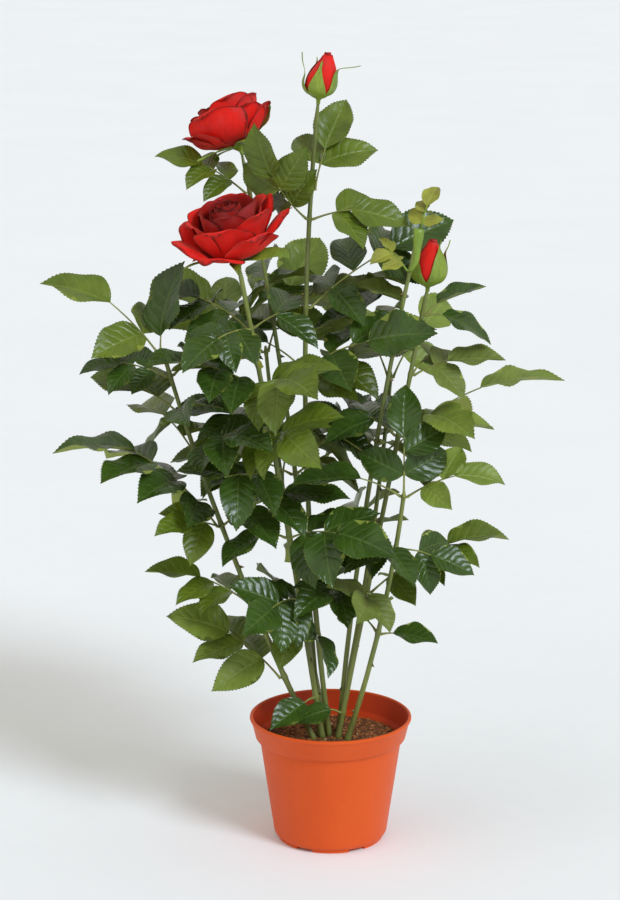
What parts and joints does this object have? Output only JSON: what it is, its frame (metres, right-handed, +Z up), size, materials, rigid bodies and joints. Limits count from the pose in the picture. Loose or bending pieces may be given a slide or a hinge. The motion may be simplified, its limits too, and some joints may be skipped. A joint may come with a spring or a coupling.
{
  "type": "artificial rose bush in a pot",
  "caption": "Artificial rose bush with red blooms and buds on bare canes with leaf sprays, set in a weighted filling in a plain orange plastic flower pot.",
  "frame": {"origin": "middle of the pot's flat underside", "axes": "+Z up along the pot's axis, +X to the right seen from the front, +Y to the back"},
  "size_m": [0.4845, 0.33, 0.7451],
  "materials": {
    "pot": "satin moulded plastic, orange",
    "filling": "weighted filling covered with brown coir granules",
    "cane": "olive green sleeved wire stem, satin",
    "foliage": "dark green coated cloth leaves, glossy above and matt and paler below",
    "young_leaf": "yellow-green cloth leaves",
    "petals": "red velvety cloth petals over green sepals"
  },
  "bodies": {
    "root": {"pot": "pot", "filling": "filling", "cane_left": "cane", "cane_front_bloom": "cane", "cane_rear_bloom": "cane", "cane_top_bud": "cane", "cane_right_bud": "cane", "cane_right_front": "cane", "cane_young_shoot": "cane", "cane_rear_left": "cane", "cane_rear_right": "cane", "rose_front": "petals", "rose_rear": "petals", "bud_top": "petals", "bud_right": "petals", "leaves_left_1": "foliage", "leaves_left_2": "foliage", "leaves_left_3": "foliage", "leaves_left_4": "foliage", "leaves_left_5": "foliage", "leaves_left_6": "foliage", "leaves_left_7": "foliage", "leaves_front_bloom_1": "foliage", "leaves_front_bloom_2": "foliage", "leaves_front_bloom_3": "foliage", "leaves_front_bloom_4": "foliage", "leaves_front_bloom_5": "foliage", "leaves_front_bloom_6": "foliage", "leaves_front_bloom_7": "foliage", "sprout_front_bloom_8": "young_leaf", "leaves_rear_bloom_1": "foliage", "leaves_rear_bloom_2": "foliage", "leaves_rear_bloom_3": "foliage", "leaves_rear_bloom_4": "foliage", "leaves_top_bud_1": "foliage", "leaves_top_bud_2": "foliage", "leaves_top_bud_3": "foliage", "leaves_top_bud_4": "foliage", "leaves_top_bud_5": "foliage", "leaves_top_bud_6": "foliage", "leaves_top_bud_7": "foliage", "leaves_right_bud_1": "foliage", "leaves_right_bud_2": "foliage", "leaves_right_bud_3": "foliage", "leaves_right_bud_4": "foliage", "leaves_right_bud_5": "foliage", "leaves_right_front_1": "foliage", "leaves_right_front_2": "foliage", "leaves_right_front_3": "foliage", "leaves_young_shoot_1": "foliage", "leaves_young_shoot_2": "foliage", "leaves_young_shoot_3": "foliage", "leaves_young_shoot_4": "foliage", "sprout_young_shoot_5": "young_leaf", "sprout_young_shoot_6": "young_leaf", "leaves_rear_left_1": "foliage", "leaves_rear_left_2": "foliage", "leaves_rear_right_1": "foliage", "leaves_rear_right_2": "foliage", "leaves_rear_right_3": "foliage"}
  },
  "joints": []
}
